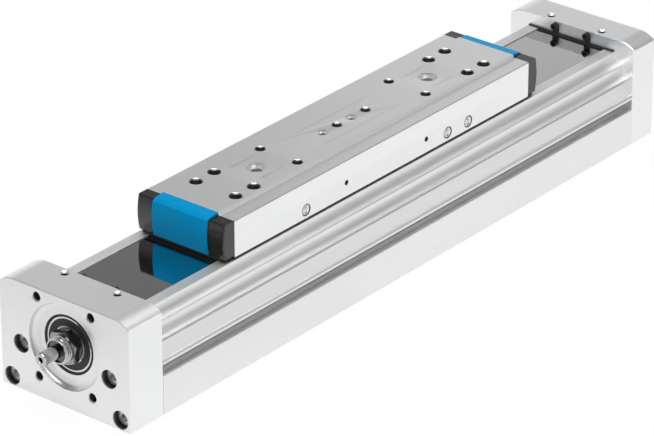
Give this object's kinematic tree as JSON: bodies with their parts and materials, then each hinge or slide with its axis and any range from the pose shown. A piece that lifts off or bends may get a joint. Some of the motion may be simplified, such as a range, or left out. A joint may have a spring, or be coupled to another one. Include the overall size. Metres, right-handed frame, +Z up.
{
  "type": "spindle axis unit",
  "caption": "Linear spindle axis in a coved aluminium profile with a cover band, an end-capped carriage on guide rails and a screw drive with a round shaft stub.",
  "frame": {"origin": "middle of the underside, half-way between the outer faces of the two caps, on the line below the spindle", "axes": "+X along the axis from the drive end to the far end, +Z up through the carriage's top, +Y to the left seen from the drive end looking along +X"},
  "size_m": [0.644, 0.12, 0.1077],
  "materials": {
    "anodised_profile": "natural anodised, fine brushed along the axis",
    "cap_aluminium": "fine blasted and anodised",
    "plate_aluminium": "milled and anodised",
    "band_steel": "smooth rolled",
    "rail_steel": "ground",
    "screw_steel": "bright zinc",
    "black_screw": "blackened",
    "bearing_steel": "ground and polished",
    "spindle_steel": "ground",
    "nut_steel": "turned bright",
    "cover_plastic": "fine grained",
    "black_plastic": "matt",
    "blue_plastic": "smooth",
    "black_rubber": "matt"
  },
  "bodies": {
    "base": {"profile": "anodised_profile", "drive_cap": "cap_aluminium", "end_cap": "cap_aluminium", "drive_cap_screws": "screw_steel", "end_cap_screws": "screw_steel", "cover_band": "band_steel", "magnet_strips": "black_rubber", "drive_band_clamp": "black_plastic", "end_band_clamp": "black_plastic", "band_clamp_screws": "black_screw", "guide_rail_left": "rail_steel", "guide_rail_right": "rail_steel", "rail_screws": "black_screw", "drive_end_buffer": "black_rubber", "far_end_buffer": "black_rubber", "bearing_outer_ring": "bearing_steel", "bearing_balls": "bearing_steel", "bearing_seal": "black_plastic", "snap_ring": "black_screw", "support_outer_ring": "bearing_steel", "support_balls": "bearing_steel"},
    "spindle": {"spindle": "spindle_steel", "lock_nut": "nut_steel", "bearing_inner_ring": "bearing_steel", "support_inner_ring": "bearing_steel", "support_circlip": "black_screw"},
    "carriage": {"carriage_plate": "plate_aluminium", "driver_block": "plate_aluminium", "driver_screws": "black_screw", "ball_nut": "nut_steel", "nut_screws": "black_screw", "runner_block_left_near": "rail_steel", "runner_block_left_far": "rail_steel", "runner_block_right_near": "rail_steel", "runner_block_right_far": "rail_steel", "runner_end_seals": "black_plastic", "block_screws": "black_screw", "near_end_cover": "cover_plastic", "far_end_cover": "cover_plastic", "near_clip": "blue_plastic", "far_clip": "blue_plastic", "near_wiper": "black_rubber", "far_wiper": "black_rubber", "near_band_lifter": "black_plastic", "far_band_lifter": "black_plastic", "side_seals": "black_rubber", "cover_screws": "black_screw", "grease_plugs": "screw_steel"}
  },
  "joints": [
    {"name": "carriage_slide", "type": "slide", "parent": "base", "child": "carriage", "axis": [1, 0, 0], "range_m": [-0.0785, 0.0915], "deforming": ["cover_band"]},
    {"name": "spindle_turn", "type": "hinge", "parent": "base", "child": "spindle", "pos_m": [0, 0, 0.0475], "axis": [1, 0, 0], "range_deg": [-1325, 1140]}
  ],
  "couplings": [
    {"joint": "spindle_turn", "follows": "carriage_slide", "rad_per_m": -251.33}
  ]
}
